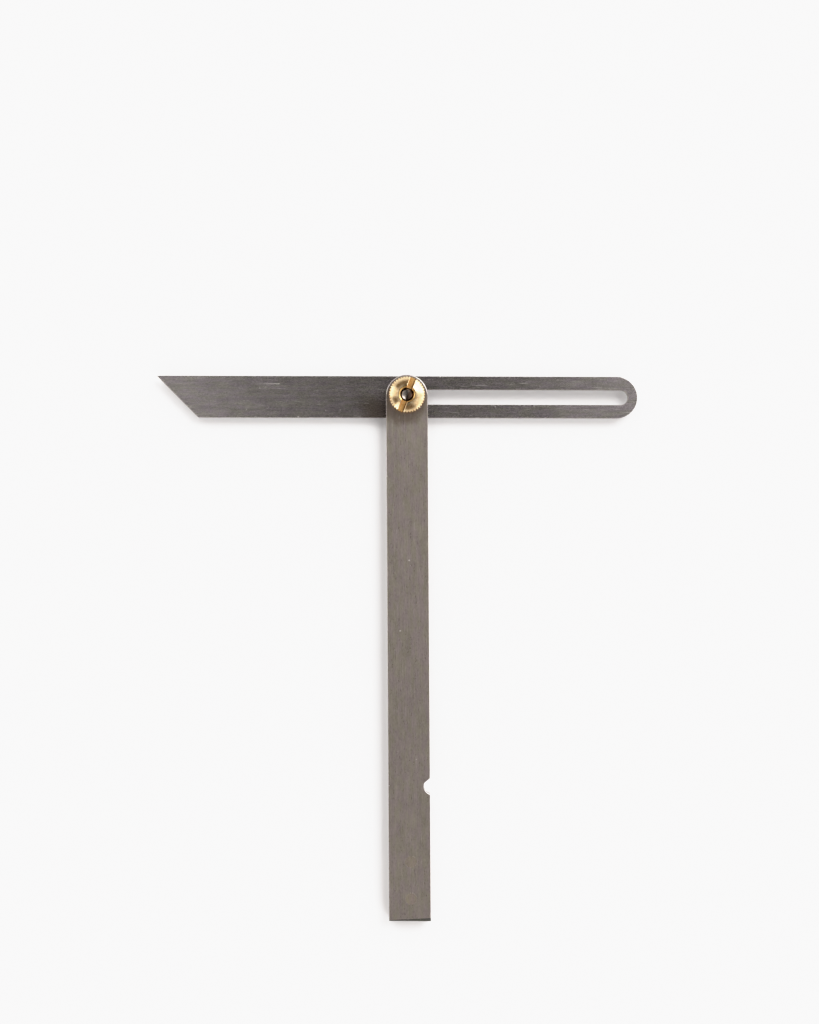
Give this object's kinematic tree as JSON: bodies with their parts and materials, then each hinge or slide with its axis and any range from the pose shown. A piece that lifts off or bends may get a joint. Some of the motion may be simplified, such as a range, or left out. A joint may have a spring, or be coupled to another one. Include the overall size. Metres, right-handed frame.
{
  "type": "sliding bevel",
  "caption": "All-metal sliding bevel: slotted blade with a pointed 45 degree end, two-cheek steel stock with a thumb notch, and a knurled brass lock nut.",
  "frame": {"origin": "pivot axis of the blade, on the plane the tool lies on (the flush head of the pivot stud)", "axes": "+Z out of the front cheek towards the lock nut; the stock runs along -Y; the blade lies along X at rest, 0.4 degrees clockwise of square, with its point at -X and its slotted round end at +X"},
  "size_m": [0.2083, 0.236, 0.0126],
  "materials": {
    "stock_steel": "satin, brushed along the stock",
    "rivet_steel": "ground flush with the cheeks",
    "blade_steel": "satin, brushed along the blade",
    "stud_steel": "turned",
    "washer_steel": "plain",
    "nut_brass": "bright turned"
  },
  "bodies": {
    "stock": {"stock_front_cheek": "stock_steel", "stock_back_cheek": "stock_steel", "stock_spacer": "stock_steel", "spacer_rivet_upper": "rivet_steel", "spacer_rivet_lower": "rivet_steel"},
    "pivot": {"pivot_stud": "stud_steel"},
    "blade": {"blade": "blade_steel"},
    "washer": {"lock_washer": "washer_steel"},
    "nut": {"lock_nut": "nut_brass"}
  },
  "joints": [
    {"name": "blade_swing", "type": "hinge", "parent": "stock", "child": "pivot", "pos_m": [0, 0, 0], "axis": [0, 0, 1], "range_deg": [-263.6, 90.4]},
    {"name": "blade_slide", "type": "slide", "parent": "pivot", "child": "blade", "axis": [-1, 0.007, 0], "range_m": [0, 0.0912]},
    {"name": "nut_lift", "type": "slide", "parent": "pivot", "child": "washer", "axis": [0, 0, 1], "range_m": [0, 0.0016]},
    {"name": "nut_turn", "type": "hinge", "parent": "washer", "child": "nut", "pos_m": [0, 0, 0], "axis": [0, 0, 1], "range_deg": [0, 720]}
  ],
  "couplings": [
    {"joint": "nut_lift", "follows": "nut_turn", "m_per_rad": 0.00012732}
  ]
}
